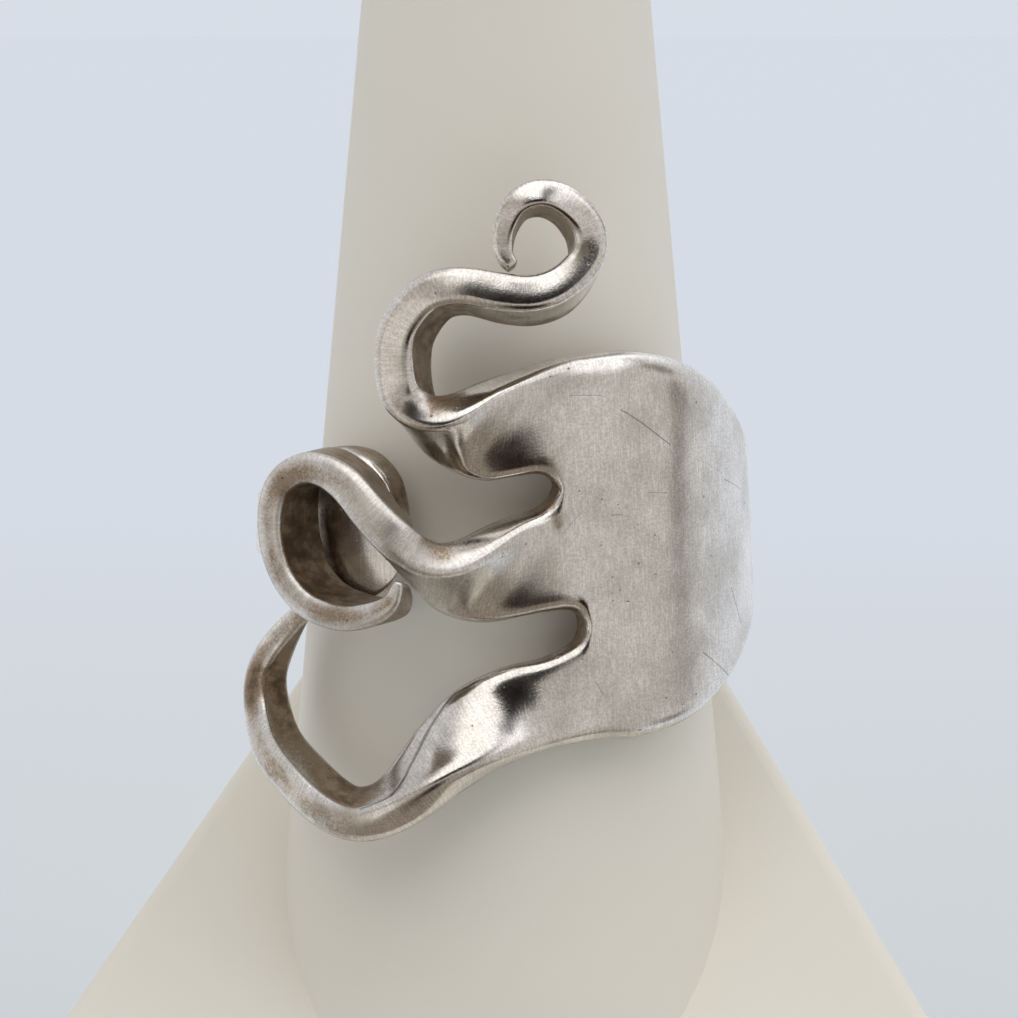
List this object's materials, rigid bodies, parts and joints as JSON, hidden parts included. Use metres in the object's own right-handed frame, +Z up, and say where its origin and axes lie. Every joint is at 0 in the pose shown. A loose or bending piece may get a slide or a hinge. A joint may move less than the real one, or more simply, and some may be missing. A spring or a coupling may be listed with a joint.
{
  "type": "fork ring on a ring cone",
  "caption": "Silver finger ring bent from a table fork, with curled tines, standing on a plain cream ring cone.",
  "frame": {"origin": "centre of the stand's underside, on the surface that it stands on", "axes": "+Z up along the cone; the ring's blade faces -Y"},
  "size_m": [0.056, 0.04, 0.072],
  "materials": {
    "worn_silver": "worn sterling silver, satin with brown tarnish in the hollows",
    "cream_stand": "matte cast resin"
  },
  "bodies": {
    "root": {"silver_ring": "worn_silver", "display_cone": "cream_stand"}
  },
  "joints": []
}
